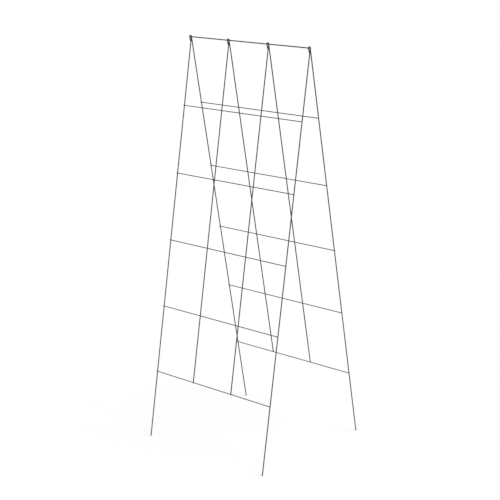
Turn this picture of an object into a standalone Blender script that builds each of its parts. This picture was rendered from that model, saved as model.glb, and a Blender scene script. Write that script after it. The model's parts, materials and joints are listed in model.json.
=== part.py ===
"""A-frame plant support: two welded wire panels that lean together on one top rod.

The front panel is welded up under the rod. The rear panel hangs on the rod by the hooks
on top of its uprights and swings about it, so the frame opens out or folds flat.

X runs along the rod, the front panel stands on the -Y side and Z is up. The origin lies on
the ground, in the middle of the frame. Sizes are in metres, angles in radians.
"""

from math import cos, pi, radians, sin, tan

import bpy

# Wire diameters, measured over the powder coat
UPRIGHT_WIRE = 0.0033
CROSSWIRE = 0.00265
ROD = 0.0034

# The mesh hangs from the rod's axis: bays across the panel, rows down it
BAY_WIDTH = 0.1520
BAYS = 3
ROW_HEIGHT = 0.2032
ROWS = 5

# The front crosswires lie on the outer side of their panel and a little closer together: the
# lowest is this much higher than at the rear
FRONT_ROWS_RAISED = 0.0021

# The outer uprights run on below the mesh as legs, and each panel leans by the same angle
LEG_BELOW_MESH = 0.2020
LEAN = radians(10.3)

# The hook on a rear upright: a short shank, a half turn over the rod, then a straight tail
# that closes in a little
HOOK_SHANK = 0.0160
HOOK_TAIL = 0.0135
HOOK_CLOSING = radians(6.5)

# Clearances: between pieces that are welded or lie together, between the hook and the rod,
# and between the hook and the front upright beside it
SEAT_GAP = 0.0003
HOOK_CLEARANCE = 0.00045
SIDE_CLEARANCE = 0.0003

# Cut ends: their chamfer, how far the crosswires pass the middle of the outer uprights, and
# how far the rod passes their outer sides
CUT_CHAMFER = 0.0003
CROSSWIRE_END = 0.0006
ROD_TRIM = 0.0002

# Drawing of the curves: a wire has 4 + 2 * WIRE_RESOLUTION sides
WIRE_RESOLUTION = 6
HOOK_STEPS = 18

# Powder coat: dark grey, faintly warm, satin
COAT_COLOUR = (0.078, 0.078, 0.074, 1.0)
COAT_ROUGHNESS = 0.45
COAT_METALLIC = 0.0

# Sizes that follow from those above
MESH_WIDTH = BAYS * BAY_WIDTH
MESH_HEIGHT = ROWS * ROW_HEIGHT
MESH_FOOT = -(MESH_HEIGHT + CROSSWIRE / 2)
HOOK_RADIUS = (ROD + UPRIGHT_WIRE) / 2 + HOOK_CLEARANCE
CROSSWIRE_OFFSET = (UPRIGHT_WIRE + CROSSWIRE) / 2 + SEAT_GAP
FRONT_TOP = -(ROD / 2 + SEAT_GAP)
REAR_TOP = -(HOOK_SHANK + SEAT_GAP)

# The hooks stand beside the front uprights, so each panel is shifted by half of that step
PANEL_SHIFT = (UPRIGHT_WIRE + SIDE_CLEARANCE) / 2

# The legs of both panels reach the same ground, though the rear ones hang outside the rod
FRONT_LEG = MESH_HEIGHT + LEG_BELOW_MESH
REAR_LEG = FRONT_LEG + HOOK_RADIUS * tan(LEAN)
FRONT_REACH = (FRONT_LEG - CUT_CHAMFER) * sin(LEAN) + UPRIGHT_WIRE / 2 * cos(LEAN)
REAR_REACH = (REAR_LEG - CUT_CHAMFER) * sin(LEAN) + (HOOK_RADIUS + UPRIGHT_WIRE / 2) * cos(LEAN)
ROD_Y = (FRONT_REACH - REAR_REACH) / 2
ROD_HEIGHT = FRONT_LEG * cos(LEAN) + (UPRIGHT_WIRE / 2 - CUT_CHAMFER) * sin(LEAN)


def clear_scene():
    for old in list(bpy.data.objects):
        bpy.data.objects.remove(old, do_unlink=True)


def powder_coat(name):
    material = bpy.data.materials.new(name)
    material.use_nodes = True
    shader = material.node_tree.nodes["Principled BSDF"]
    shader.inputs["Base Color"].default_value = COAT_COLOUR
    shader.inputs["Roughness"].default_value = COAT_ROUGHNESS
    shader.inputs["Metallic"].default_value = COAT_METALLIC
    return material


def toward(start, end, distance):
    """The point that lies a distance along the way from start to end."""
    steps = [b - a for a, b in zip(start, end)]
    length = sum(step * step for step in steps) ** 0.5
    return tuple(a + step * distance / length for a, step in zip(start, steps))


def wire(name, diameter, path, pivot, place, cut_start=True, cut_end=True):
    """A round wire along a path, hung from a pivot. Its cut ends are chamfered."""
    points = list(path)
    factors = [1.0] * len(points)
    cut_factor = 1 - 2 * CUT_CHAMFER / diameter
    if cut_start:
        points.insert(1, toward(path[0], path[1], CUT_CHAMFER))
        factors.insert(0, cut_factor)
    if cut_end:
        points.insert(-1, toward(path[-1], path[-2], CUT_CHAMFER))
        factors.append(cut_factor)

    curve = bpy.data.curves.new(name, "CURVE")
    curve.dimensions = "3D"
    curve.bevel_depth = diameter / 2
    curve.bevel_resolution = WIRE_RESOLUTION
    curve.use_fill_caps = True
    spline = curve.splines.new("POLY")
    spline.use_smooth = True
    spline.points.add(len(points) - 1)
    for spline_point, point, factor in zip(spline.points, points, factors):
        spline_point.co = (*point, 1)
        spline_point.radius = factor
    curve.materials.append(powder_coat(name + "_coat"))

    piece = bpy.data.objects.new(name, curve)
    piece.parent = pivot
    piece.location = place
    bpy.context.collection.objects.link(piece)


def rod_pivot(name, lean):
    """An empty on the rod's axis, which carries a panel and leans it."""
    pivot = bpy.data.objects.new(name, None)
    pivot.location = (0, ROD_Y, ROD_HEIGHT)
    pivot.rotation_euler = (lean, 0, 0)
    bpy.context.collection.objects.link(pivot)
    return pivot


def station(number):
    """Where an upright stands along the rod, before its panel's shift."""
    return number * BAY_WIDTH - MESH_WIDTH / 2


def uprights(name, pivot, shift, y, top, leg):
    """The outer two are the legs, the inner ones end with the lowest crosswire."""
    for number in range(BAYS + 1):
        is_leg = number in (0, BAYS)
        kind = "leg" if is_leg else "upright"
        foot = -leg if is_leg else MESH_FOOT
        place = (station(number) + shift, y, 0)
        path = [(0, 0, foot), (0, 0, top)]
        wire(f"{name}_{kind}_{number + 1}", UPRIGHT_WIRE, path, pivot, place, cut_end=False)


def crosswires(name, pivot, shift, y, raised=0.0):
    """One under the other, across all uprights of the panel."""
    end = MESH_WIDTH / 2 + CROSSWIRE_END
    spacing = (MESH_HEIGHT - raised) / ROWS
    for row in range(1, ROWS + 1):
        place = (shift, y, -row * spacing)
        wire(f"{name}_crosswire_{row}", CROSSWIRE, [(-end, 0, 0), (end, 0, 0)], pivot, place)


def top_rod(pivot):
    """The rod reaches the outer sides of the outermost wires of both panels."""
    end = (MESH_WIDTH + UPRIGHT_WIRE) / 2 + PANEL_SHIFT + ROD_TRIM
    wire("top_rod", ROD, [(-end, 0, 0), (end, 0, 0)], pivot, (0, 0, 0))


def hook_path():
    """Up the shank, over the rod and down the tail, around the rod's axis."""
    path = [(0, HOOK_RADIUS, -HOOK_SHANK)]
    turn = pi + HOOK_CLOSING
    for step in range(HOOK_STEPS + 1):
        angle = turn * step / HOOK_STEPS
        path.append((0, HOOK_RADIUS * cos(angle), HOOK_RADIUS * sin(angle)))
    tail_y = path[-1][1] + HOOK_TAIL * sin(HOOK_CLOSING)
    tail_z = path[-1][2] - HOOK_TAIL * cos(HOOK_CLOSING)
    path.append((0, tail_y, tail_z))
    return path


def hooks(pivot):
    """The formed tops of the rear uprights, which hang their panel on the rod."""
    for number in range(BAYS + 1):
        place = (station(number) - PANEL_SHIFT, 0, 0)
        wire(f"rear_hook_{number + 1}", UPRIGHT_WIRE, hook_path(), pivot, place, cut_start=False)


clear_scene()

front = rod_pivot("front_panel", -LEAN)
top_rod(front)
uprights("front", front, PANEL_SHIFT, 0, FRONT_TOP, FRONT_LEG)
crosswires("front", front, PANEL_SHIFT, -CROSSWIRE_OFFSET, FRONT_ROWS_RAISED)

rear = rod_pivot("rear_panel_hinge", LEAN)
hooks(rear)
uprights("rear", rear, -PANEL_SHIFT, HOOK_RADIUS, REAR_TOP, REAR_LEG)
crosswires("rear", rear, -PANEL_SHIFT, HOOK_RADIUS - CROSSWIRE_OFFSET)
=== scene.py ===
# A-frame plant support, dressed for the render: the powder coated wire, its bends, cut ends and welds.
import json
import math
import random

import bmesh
import bpy
from mathutils import Matrix, Vector


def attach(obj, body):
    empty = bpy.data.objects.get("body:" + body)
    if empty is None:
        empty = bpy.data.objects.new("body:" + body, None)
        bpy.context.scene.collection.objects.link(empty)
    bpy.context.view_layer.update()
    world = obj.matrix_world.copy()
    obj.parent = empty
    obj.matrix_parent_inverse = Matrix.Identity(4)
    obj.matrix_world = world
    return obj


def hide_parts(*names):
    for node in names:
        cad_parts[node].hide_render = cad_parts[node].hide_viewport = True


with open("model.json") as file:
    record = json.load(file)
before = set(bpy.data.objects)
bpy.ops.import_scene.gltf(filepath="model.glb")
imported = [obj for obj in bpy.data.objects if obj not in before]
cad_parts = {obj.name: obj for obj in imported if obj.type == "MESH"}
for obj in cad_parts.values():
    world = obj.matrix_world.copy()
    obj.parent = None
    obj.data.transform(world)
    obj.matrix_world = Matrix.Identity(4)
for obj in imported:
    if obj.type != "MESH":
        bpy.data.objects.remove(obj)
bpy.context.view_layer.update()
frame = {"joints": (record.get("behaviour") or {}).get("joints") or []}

mm = 0.001


# Small tools

def linearColour(hexText):
    channels = [int(hexText[i:i + 2], 16) / 255 for i in (1, 3, 5)]
    return [c / 12.92 if c <= 0.04045 else ((c + 0.055) / 1.055) ** 2.4 for c in channels] + [1.0]


def addNode(tree, kind, settings=None, links=None):
    # settings are properties and fixed inputs of the node, links are inputs that another node feeds
    node = tree.nodes.new(kind)
    for key, value in (settings or {}).items():
        if isinstance(key, int) or key in node.inputs:
            node.inputs[key].default_value = value
        else:
            setattr(node, key, value)
    for key, source in (links or {}).items():
        tree.links.new(source, node.inputs[key])
    return node


def newTree(name):
    material = bpy.data.materials.new(name)
    material.use_nodes = True
    material.node_tree.nodes.clear()
    return material, material.node_tree


# Finishes

coatNoise = {                           # size, detail and roughness of each pattern
    "patch": (9 * mm, 3.0, 0.55),       # cloudy thick and thin places in the coat
    "peel": (1.3 * mm, 1.5, 0.45),      # orange peel of the baked powder
    "grain": (0.28 * mm, 2.0, 0.6),     # the powder itself, drawn a little coarse so that it shows
    "flake": (0.5 * mm, 3.0, 0.7),      # chips where the coat is rubbed through
}
coatLook = {
    "patchRange": (0.32, 0.68),     # noise at these values has the dark and the light colour
    "peelRange": (0.3, 0.7),        # and at these the least and the most roughness
    "peelHeight": 0.180 * mm,       # both heights are several times the real ones,
    "grainHeight": 0.065 * mm,      # which wouldn't show on so thin a wire
    "bareRange": (1.02, 1.10),      # wear and noise together: whole coat below, bare steel above
    "rubbedSteel": "#8C8A86",
    "ior": 1.36,                    # cured polyester has about 1.5, but the photo's wires hardly shine
}


def powderCoatedSteel(name, dark, light, roughness=(0.46, 0.58)):
    # Polyester powder, sprayed dry on drawn steel wire and baked: an even satin skin with a faint orange
    # peel. Where it is rubbed through, bare steel glints in small flakes.
    material, tree = newTree(name)
    place = addNode(tree, "ShaderNodeTexCoord").outputs["Object"]
    noise = {}
    for pattern, (size, detail, rough) in coatNoise.items():
        settings = {"Scale": 1 / size, "Detail": detail, "Roughness": rough}
        noise[pattern] = addNode(tree, "ShaderNodeTexNoise", settings, {"Vector": place}).outputs["Fac"]

    # the wear drawn on the mesh, broken up into flakes
    worn = addNode(tree, "ShaderNodeAttribute", {"attribute_name": "wear"}).outputs["Fac"]
    torn = addNode(tree, "ShaderNodeMath", {"operation": "ADD"}, {0: worn, 1: noise["flake"]})
    bareFrom, bareTo = coatLook["bareRange"]
    bare = addNode(tree, "ShaderNodeMapRange", {"From Min": bareFrom, "From Max": bareTo},
                   {"Value": torn.outputs[0]})

    # a colour Mix node has its two colours at inputs 6 and 7 and the result at output 2
    darkAt, lightAt = coatLook["patchRange"]
    cloudy = addNode(tree, "ShaderNodeMapRange", {"From Min": darkAt, "From Max": lightAt},
                     {"Value": noise["patch"]})
    coat = addNode(tree, "ShaderNodeMix",
                   {"data_type": "RGBA", 6: linearColour(dark), 7: linearColour(light)},
                   {0: cloudy.outputs[0]})
    colour = addNode(tree, "ShaderNodeMix",
                     {"data_type": "RGBA", 7: linearColour(coatLook["rubbedSteel"])},
                     {0: bare.outputs[0], 6: coat.outputs[2]})
    leastAt, mostAt = coatLook["peelRange"]
    least, most = roughness
    satin = addNode(tree, "ShaderNodeMapRange",
                    {"From Min": leastAt, "From Max": mostAt, "To Min": least, "To Max": most},
                    {"Value": noise["peel"]})

    fine = addNode(tree, "ShaderNodeBump", {"Strength": 1.0, "Distance": coatLook["grainHeight"]},
                   {"Height": noise["grain"]})
    wavy = addNode(tree, "ShaderNodeBump", {"Strength": 1.0, "Distance": coatLook["peelHeight"]},
                   {"Height": noise["peel"], "Normal": fine.outputs[0]})
    shader = addNode(tree, "ShaderNodeBsdfPrincipled", {"IOR": coatLook["ior"]},
                     {"Base Color": colour.outputs[2], "Roughness": satin.outputs[0],
                      "Metallic": bare.outputs[0], "Normal": wavy.outputs[0]})
    addNode(tree, "ShaderNodeOutputMaterial", None, {"Surface": shader.outputs[0]})
    return material


uprightCoat = powderCoatedSteel("Powder coated upright wire", "#3F3F3A", "#494944")
crosswireCoat = powderCoatedSteel("Powder coated crosswire", "#3D3D38", "#474742")
rodCoat = powderCoatedSteel("Powder coated top rod", "#3D3D38", "#474742")
weldCoat = powderCoatedSteel("Powder coated weld", "#3F3F3A", "#4B4B46", roughness=(0.52, 0.66))
print("finishes made")


# The two panels, each drawn in its own axes: X along the rod, Z up the panel, the rod's middle at zero

panel = {
    "lean": 10.3,           # degrees, each panel from upright
    "bay": 152.0 * mm,
    "bays": 3,
    "row": 203.2 * mm,
    "rows": 5,
    "shift": 1.8 * mm,      # front uprights to +X of the station, hooks to -X
    "leg": 1218.0 * mm,     # front leg below the rod's axis
}
uprightNumbers = range(panel["bays"] + 1)
rowNumbers = range(1, panel["rows"] + 1)
meshWidth = panel["bay"] * panel["bays"]

rodPlace = Matrix.Translation(Vector(frame["joints"][0]["pos_m"]))
lean = math.radians(panel["lean"])
places = {
    "front_panel": rodPlace @ Matrix.Rotation(-lean, 4, "X"),
    "rear_panel": rodPlace @ Matrix.Rotation(lean, 4, "X"),
}


def stationX(number):
    return number * panel["bay"] - meshWidth / 2


# Wire

wire = {
    "upright": 1.650 * mm,      # radii over the coat
    "crosswire": 1.325 * mm,
    "rod": 1.700 * mm,
    "gap": 0.3 * mm,            # between the rod and the uprights that are welded under it
    "around": 32,               # points round a wire
    "sharp": 50,                # degrees, a steeper edge is drawn sharp
    "rim": 0.30 * mm,           # how far the coat rounds a sheared end
    "rimSteps": 5,
    "rimFade": 2.5,             # the wear fades out this many rims from the end
    "rimWear": 0.52,            # wear in the middle of the rounding
    "rimEdgeWear": 0.3,         # share of it at the rounding's two edges
    "cutWear": 0.25,            # share of it in the middle of the cut face
    "coatMap": "OFBake",        # the export bakes the coat through a map of this name
    "mapGap": 0.6 * mm,         # between the map's strips
}


def tubeEnd(end, beside, radius, rounded):
    # stations from an end inwards, each a point with the radius and the wear there
    if not rounded:
        return [(end, radius, 0.0)]
    inward = (beside - end).normalized()
    stations = []
    for step in range(wire["rimSteps"] + 1):
        turn = math.pi / 2 * step / wire["rimSteps"]
        point = end + inward * wire["rim"] * (1 - math.cos(turn))
        onEdge = step in (0, wire["rimSteps"])
        share = wire["rimEdgeWear"] if onEdge else math.sin(2 * turn) ** 0.5
        stations.append((point, radius - wire["rim"] * (1 - math.sin(turn)), share * wire["rimWear"]))
    return stations + [(end + inward * wire["rim"] * wire["rimFade"], radius, 0.0)]


def joinRings(mesh, rings):
    # A band of faces from each ring to the next. Seen along the way the rings turn clockwise, so that
    # the faces point out.
    around = len(rings[0])
    bands = []
    for a, b in zip(rings, rings[1:]):
        corners = [(a[k], a[(k + 1) % around], b[(k + 1) % around], b[k]) for k in range(around)]
        bands.append([mesh.faces.new(four) for four in corners])
    return bands


def cutIntoStrips(stations, radius):
    # On its map the skin of a long thin wire lies in strips side by side, as many as fill a square. This
    # says how far along the skin each station is, and adds a station where a strip ends.
    reached = [stations[0][1]]
    for (a, widthA, _), (b, widthB, _) in zip(stations, stations[1:]):
        reached.append(reached[-1] + math.hypot((b - a).length, widthB - widthA))
    whole = reached[-1] + stations[-1][1]
    strips = max(1, round(math.sqrt(whole / (math.tau * radius))))
    for number in range(1, strips):
        cut = whole * number / strips
        i = next(i for i, at in enumerate(reached) if at > cut)
        share = (cut - reached[i - 1]) / (reached[i] - reached[i - 1])
        stations.insert(i, (stations[i - 1][0].lerp(stations[i][0], share), radius, 0.0))
        reached.insert(i, cut)
    return reached, whole, strips


def mapCoat(mesh, laid, radius, whole, strips):
    # lays each face in its strip, by its corners' places round and along the wire
    coatMap = mesh.loops.layers.uv.new(wire["coatMap"])
    girth, length, gap = math.tau * radius, whole / strips, wire["mapGap"]
    for face, corners in laid:
        strip = int(sum(along for _, along in corners) / len(corners) / length)
        for loop, (k, along) in zip(face.loops, corners):
            across = (gap / 2 + k / wire["around"] * girth) / (girth + gap)
            down = (gap / 2 + along - strip * length) / (length + gap)
            loop[coatMap].uv = ((strip + across) / strips, down)


def wireMesh(path, radius, roundLast=True, wearAt=None):
    # a round wire along a path. The first end is always rounded, and wearAt adds wear by place.
    points = [Vector(p) for p in path]
    stations = tubeEnd(points[0], points[1], radius, True)
    stations += [(p, radius, 0.0) for p in points[1:-1]]
    stations += tubeEnd(points[-1], points[-2], radius, roundLast)[::-1]
    reached, whole, strips = cutIntoStrips(stations, radius)

    mesh = bmesh.new()
    wearLayer = mesh.verts.layers.float.new("wear")
    around = wire["around"]
    side = None
    rings = []
    for i, (point, width, wear) in enumerate(stations):
        before = stations[max(i - 1, 0)][0]
        after = stations[min(i + 1, len(stations) - 1)][0]
        tangent = (after - before).normalized()
        if side is None:
            side = tangent.orthogonal().normalized()
        side = (side - tangent * side.dot(tangent)).normalized()
        other = tangent.cross(side)
        ring = []
        for k in range(around):
            turn = math.tau * k / around
            outward = side * math.cos(turn) + other * math.sin(turn)
            vert = mesh.verts.new(point + outward * width)
            vert[wearLayer] = max(wear, wearAt(vert.co) if wearAt else 0.0)
            ring.append(vert)
        rings.append(ring)

    laid = []
    for band, start, end in zip(joinRings(mesh, rings), reached, reached[1:]):
        for k, face in enumerate(band):
            laid.append((face, ((k, start), (k + 1, start), (k + 1, end), (k, end))))
    # the two ends' faces run opposite ways round, so that both face out
    ends = ((rings[0], reached[0], 0.0, (1, 0)), (rings[-1], reached[-1], whole, (0, 1)))
    for ring, edge, tip, order in ends:
        centre = mesh.verts.new(sum((v.co for v in ring), Vector()) / around)
        centre[wearLayer] = wire["cutWear"] * wire["rimWear"]
        for k in range(around):
            one, two = (k + step for step in order)
            face = mesh.faces.new((ring[one % around], ring[two % around], centre))
            laid.append((face, ((one, edge), (two, edge), (k + 0.5, tip))))
    mapCoat(mesh, laid, radius, whole, strips)
    return mesh


def finishPiece(name, mesh, body, material, nodes=()):
    data = bpy.data.meshes.new(name)
    bmesh.ops.transform(mesh, matrix=places[body], verts=mesh.verts)
    mesh.to_mesh(data)
    mesh.free()
    data.shade_smooth()
    data.set_sharp_from_angle(angle=math.radians(wire["sharp"]))
    data.materials.append(material)
    piece = bpy.data.objects.new(name, data)
    bpy.context.scene.collection.objects.link(piece)
    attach(piece, body)
    if nodes:
        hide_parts(*nodes)


# Top rod

rod = {
    "pastWires": 0.2 * mm,      # how far it passes the outermost uprights' outer sides
    "endClear": 1.5 * mm,       # no extra points this close to an end
    "bearing": (-2.4, -1.7, -0.8, 0.0, 0.8, 1.7, 2.4),      # millimetres either way of a hook
    "rub": 0.47,                # wear where a hook turns on it
    "rubReach": 2.2 * mm,       # the wear fades out along the rod
    "rubDown": 0.6,             # and round it, from the top to this share of the radius below its middle
}


def rodPath():
    # extra points where the hooks bear, so that the rubbing can be drawn there
    reach = meshWidth / 2 + panel["shift"] + wire["upright"] + rod["pastWires"]
    xs = [stationX(n) - panel["shift"] + d * mm for n in uprightNumbers for d in rod["bearing"]]
    inside = [x for x in xs if abs(x) < reach - rod["endClear"]]
    return [(x, 0, 0) for x in (-reach, *inside, reach)]


def rodWear(point):
    # the hooks rub the top of the rod
    nearest = min(abs(point.x - stationX(n) + panel["shift"]) for n in uprightNumbers)
    along = max(0.0, 1 - nearest / rod["rubReach"])
    around = max(0.0, min(1.0, point.z / wire["rod"] + rod["rubDown"]))
    return rod["rub"] * along * around


rodMesh = wireMesh(rodPath(), wire["rod"], wearAt=rodWear)
finishPiece("topRod", rodMesh, "front_panel", rodCoat, ["top_rod"])
print("top rod made")


# Uprights and hooks

hook = {
    "radius": 3.80 * mm,        # wire centre to rod centre
    "tail": 13.5 * mm,
    "closing": 6.5,             # degrees that the tail leans in
    "steps": 44,
    "shank": (30 * mm, 6 * mm), # extra points below the bend, which keep its wear up there
    "rub": 0.47,                # wear where it turns on the rod
    "rubDepth": 0.9 * mm,       # the wear fades out from the bend's inside
    "rubDown": 1.0 * mm,        # and reaches this far below the rod's middle
}
meshFoot = panel["row"] * panel["rows"] + wire["crosswire"]
rearLeg = panel["leg"] + hook["radius"] * math.tan(lean)        # level with the front leg


def hookPath(x, foot):
    radius = hook["radius"]
    path = [(x, radius, -down) for down in (foot, *hook["shank"])]
    closing = math.radians(hook["closing"])
    for step in range(hook["steps"] + 1):
        angle = (math.pi + closing) * step / hook["steps"]
        path.append((x, radius * math.cos(angle), radius * math.sin(angle)))
    lastY, lastZ = path[-1][1:]
    path.append((x, lastY + hook["tail"] * math.sin(closing), lastZ - hook["tail"] * math.cos(closing)))
    return path


def hookWear(point):
    # the inside of the bend turns on the rod
    if point.z <= -hook["rubDown"]:
        return 0.0
    depth = math.hypot(point.y, point.z) - (hook["radius"] - wire["upright"])
    return hook["rub"] * max(0.0, 1 - depth / hook["rubDepth"])


def frontUpright(number, kind, foot):
    x = stationX(number) + panel["shift"]
    path = [(x, 0, -foot), (x, 0, -(wire["rod"] + wire["gap"]))]
    mesh = wireMesh(path, wire["upright"], roundLast=False)
    finishPiece(f"front{kind}{number + 1}", mesh, "front_panel", uprightCoat,
                [f"front_{kind.lower()}_{number + 1}"])


def rearUpright(number, kind, foot):
    path = hookPath(stationX(number) - panel["shift"], foot)
    mesh = wireMesh(path, wire["upright"], wearAt=hookWear)
    finishPiece(f"rearHooked{kind}{number + 1}", mesh, "rear_panel", uprightCoat,
                [f"rear_{kind.lower()}_{number + 1}", f"rear_hook_{number + 1}"])


for number in uprightNumbers:
    if number in (0, panel["bays"]):
        frontUpright(number, "Leg", panel["leg"])
        rearUpright(number, "Leg", rearLeg)
    else:
        frontUpright(number, "Upright", meshFoot)
        rearUpright(number, "Upright", meshFoot)
print("uprights and hooks made")


# Crosswires

# they lie on the -Y side of the uprights: outside on the front panel, inside on the rear one
crosswire = {
    "offset": 3.275 * mm,       # from the uprights' plane
    "end": 0.6 * mm,            # past the middle of the outer uprights
    "frontRaised": 2.1 * mm,    # the front rows lie a little closer, the lowest by this much
}
sides = {
    "front": {"shift": panel["shift"], "y": 0.0, "raised": crosswire["frontRaised"]},
    "rear": {"shift": -panel["shift"], "y": hook["radius"], "raised": 0.0},
}


def rowHeight(side, row):
    return -row * (panel["row"] - sides[side]["raised"] / panel["rows"])


for side, place in sides.items():
    reach = meshWidth / 2 + crosswire["end"]
    for row in rowNumbers:
        y, z = place["y"] - crosswire["offset"], rowHeight(side, row)
        path = [(place["shift"] + x, y, z) for x in (-reach, reach)]
        mesh = wireMesh(path, wire["crosswire"])
        finishPiece(f"{side}Crosswire{row}", mesh, f"{side}_panel", crosswireCoat,
                    [f"{side}_crosswire_{row}"])
print("crosswires made")


# Welds

weld = {
    "seed": 7,
    "around": 40,           # points round a weld
    "layers": 8,            # from one wire to the other
    "uneven": 0.05,         # share of its width by which the outline wavers
    "waves": 3,             # added up for that, the first of them runs twice round
    "spread": 0.86,         # how much of each wire's half width the squeezed-out steel reaches
    "waist": 0.34,          # share by which it draws in between the two
    "sink": 0.06 * mm,      # how far each side runs into its wire
    "pastEnd": 0.5 * mm,    # how far it runs on past the crosswire's cut end, along an outer upright
}
bead = {
    "along": 1.76 * mm,     # half length on the rod, which stays clear of the hook beside it
    "across": 1.56 * mm,    # half width on the rod
    "down": 1.15 * mm,      # how far it reaches below the upright's top
    "sink": 0.02 * mm,      # how far it starts inside the upright's skin
    "flare": 2.2,           # how late it widens on its way up
}
chance = random.Random(weld["seed"])


def wobble():
    # an uneven outline, different for each weld
    phases = [chance.uniform(0, math.tau) for _ in range(weld["waves"])]

    def uneven(turn):
        waves = sum(math.sin((n + 2) * turn + phase) / (n + 1) for n, phase in enumerate(phases))
        return 1 + weld["uneven"] * waves

    return uneven


def closeRings(mesh, rings):
    joinRings(mesh, rings)
    mesh.faces.new(rings[0][::-1])
    mesh.faces.new(rings[-1])


def addNugget(mesh, x, y, z, endSide):
    # resistance weld of a crosswire on an upright: steel squeezed out round the contact, skinned over by
    # the coat into a hollow fillet. endSide is the side on which the crosswire ends here, or 0.
    uneven = wobble()
    rings = [[] for _ in range(weld["layers"] + 1)]
    intoUpright = 1 - weld["sink"] / wire["upright"]
    intoCrosswire = 1 - weld["sink"] / wire["crosswire"]
    waist = 1 - weld["waist"]
    for k in range(weld["around"]):
        turn = math.tau * k / weld["around"]
        spread = weld["spread"] * uneven(turn)
        half = spread * wire["upright"]
        rise = spread * wire["crosswire"] * math.sin(turn)
        atEnd = endSide * math.cos(turn) > 0
        lowX = math.cos(turn) * (min(half, crosswire["end"] + weld["pastEnd"]) if atEnd else half)
        highX = math.cos(turn) * (min(half, crosswire["end"] - wire["rim"]) if atEnd else half)
        low = math.sqrt(wire["upright"] ** 2 - lowX * lowX)
        drop = math.sqrt(wire["crosswire"] ** 2 - rise * rise)
        onUpright = Vector((lowX * intoUpright, low * intoUpright, rise))
        onCrosswire = Vector((highX, crosswire["offset"] - drop * intoCrosswire, rise * intoCrosswire))
        middleX, middleY = (lowX + highX) / 2, (low + crosswire["offset"] - drop) / 2
        between = Vector((middleX * waist, middleY, rise * waist))
        for layer, ring in enumerate(rings):
            t = layer / weld["layers"]
            point = onUpright * (1 - t) ** 2 + between * 2 * t * (1 - t) + onCrosswire * t * t
            ring.append(mesh.verts.new((x + point.x, y - point.y, z + point.z)))
    closeRings(mesh, rings)


def addRodBead(mesh, x):
    # fillet weld round the top of a front upright, drawn up onto the rod
    uneven = wobble()
    footRadius = wire["upright"] - bead["sink"]
    rings = []
    for layer in range(weld["layers"] + 1):
        t = layer / weld["layers"]
        flare = t ** bead["flare"]
        ring = []
        for k in range(weld["around"]):
            turn = math.tau * k / weld["around"]
            footX, footY = footRadius * math.cos(turn), footRadius * math.sin(turn)
            topX, topY = bead["along"] * math.cos(turn), bead["across"] * math.sin(turn)
            low = -wire["rod"] - wire["gap"] - bead["down"] * uneven(turn)
            high = -math.sqrt(wire["rod"] ** 2 - topY ** 2) + weld["sink"]
            ring.append(mesh.verts.new((x + footX + (topX - footX) * flare,
                                        footY + (topY - footY) * flare,
                                        low + (high - low) * t)))
        rings.append(ring)
    closeRings(mesh, rings)


for side, place in sides.items():
    for row in rowNumbers:
        rowWelds = bmesh.new()
        for number in uprightNumbers:
            x = stationX(number) + place["shift"]
            endSide = {0: -1, panel["bays"]: 1}.get(number, 0)
            addNugget(rowWelds, x, place["y"], rowHeight(side, row), endSide)
        finishPiece(f"{side}Welds{row}", rowWelds, f"{side}_panel", weldCoat)
rodWelds = bmesh.new()
for number in uprightNumbers:
    addRodBead(rodWelds, stationX(number) + panel["shift"])
finishPiece("rodWelds", rodWelds, "front_panel", weldCoat)
print("welds made")


# Studio

studio = {
    "floorRadius": 40.0,        # metres, so that no edge comes into view
    "floorSides": 96,
    "floorColour": "#C2C2C2",
    "floorWhite": 1.01,         # what the eye sees of it, out of the shadow
    "sky": "#FFFFFF",
    "skyLight": 0.45,
    "keyPower": 2.10,           # watts per square metre
    "keyFrom": (0.56, 0.12, 0.82),
    "keySoftness": 55.0,        # degrees across
}
keyFrom = Vector(studio["keyFrom"]).normalized()


def seenDirectly(tree):
    # camera, mirror and glass rays see the plain white studio
    path = addNode(tree, "ShaderNodeLightPath")
    either = addNode(tree, "ShaderNodeMath", {"operation": "MAXIMUM"},
                     {0: path.outputs["Is Camera Ray"], 1: path.outputs["Is Glossy Ray"]})
    return addNode(tree, "ShaderNodeMath", {"operation": "MAXIMUM"},
                   {0: either.outputs[0], 1: path.outputs["Is Transmission Ray"]}).outputs[0]


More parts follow.
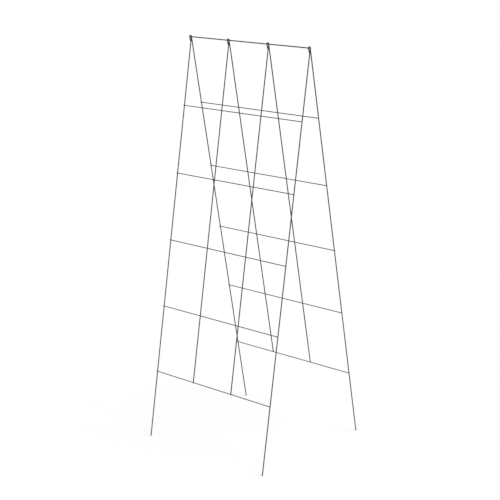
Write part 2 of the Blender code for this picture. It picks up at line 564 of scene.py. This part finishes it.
def studioFloor():
    # matt painted floor, lifted to white for the eye by just what its paint lacks: the shadow stays
    material, tree = newTree("Matt pale floor paint")
    paint = linearColour(studio["floorColour"])
    light = studio["skyLight"] + studio["keyPower"] * keyFrom.z / math.pi
    lack = studio["floorWhite"] - light * paint[1]
    lift = addNode(tree, "ShaderNodeMath", {"operation": "MULTIPLY", 1: lack}, {0: seenDirectly(tree)})
    matt = addNode(tree, "ShaderNodeBsdfDiffuse", {"Color": paint})
    glow = addNode(tree, "ShaderNodeEmission", {"Color": linearColour(studio["sky"])},
                   {"Strength": lift.outputs[0]})
    both = addNode(tree, "ShaderNodeAddShader", None, {0: matt.outputs[0], 1: glow.outputs[0]})
    addNode(tree, "ShaderNodeOutputMaterial", None, {"Surface": both.outputs[0]})
    mesh = bmesh.new()
    bmesh.ops.create_circle(mesh, cap_ends=True, segments=studio["floorSides"],
                            radius=studio["floorRadius"])
    data = bpy.data.meshes.new("studioFloor")
    mesh.to_mesh(data)
    mesh.free()
    data.materials.append(material)
    floor = bpy.data.objects.new("studioFloor", data)
    bpy.context.scene.collection.objects.link(floor)


def studioSky():
    world = bpy.data.worlds.new("Studio")
    world.use_nodes = True
    tree = world.node_tree
    tree.nodes.clear()
    strength = addNode(tree, "ShaderNodeMapRange", {"To Min": studio["skyLight"], "To Max": 1.0},
                       {"Value": seenDirectly(tree)})
    sky = addNode(tree, "ShaderNodeBackground", {"Color": linearColour(studio["sky"])},
                  {"Strength": strength.outputs[0]})
    addNode(tree, "ShaderNodeOutputWorld", None, {"Surface": sky.outputs[0]})
    bpy.context.scene.world = world


def keyLight():
    # one broad soft light, high on the right
    data = bpy.data.lights.new("key", "SUN")
    data.energy = studio["keyPower"]
    data.angle = math.radians(studio["keySoftness"])
    light = bpy.data.objects.new("key", data)
    light.rotation_euler = (-keyFrom).to_track_quat("-Z", "Y").to_euler()
    bpy.context.scene.collection.objects.link(light)


studioFloor()
studioSky()
keyLight()
print("studio made")


# Camera

view = {
    "at": (2.7004, -2.9851, 1.6860),
    "turn": (74.686, 0.726, 41.991),    # degrees
    "lens": 101.25,                     # millimetres
    "sensor": 36.0,                     # millimetres wide
    "seesTo": 60.0,                     # metres, past the floor's edge
}
cameraData = bpy.data.cameras.new("camera")
cameraData.sensor_width = view["sensor"]
cameraData.lens = view["lens"]
cameraData.clip_end = view["seesTo"]
camera = bpy.data.objects.new("camera", cameraData)
camera.location = view["at"]
camera.rotation_euler = [math.radians(a) for a in view["turn"]]
bpy.context.scene.collection.objects.link(camera)
bpy.context.scene.camera = camera
bpy.context.scene.view_settings.view_transform = "Standard"
print("camera set")
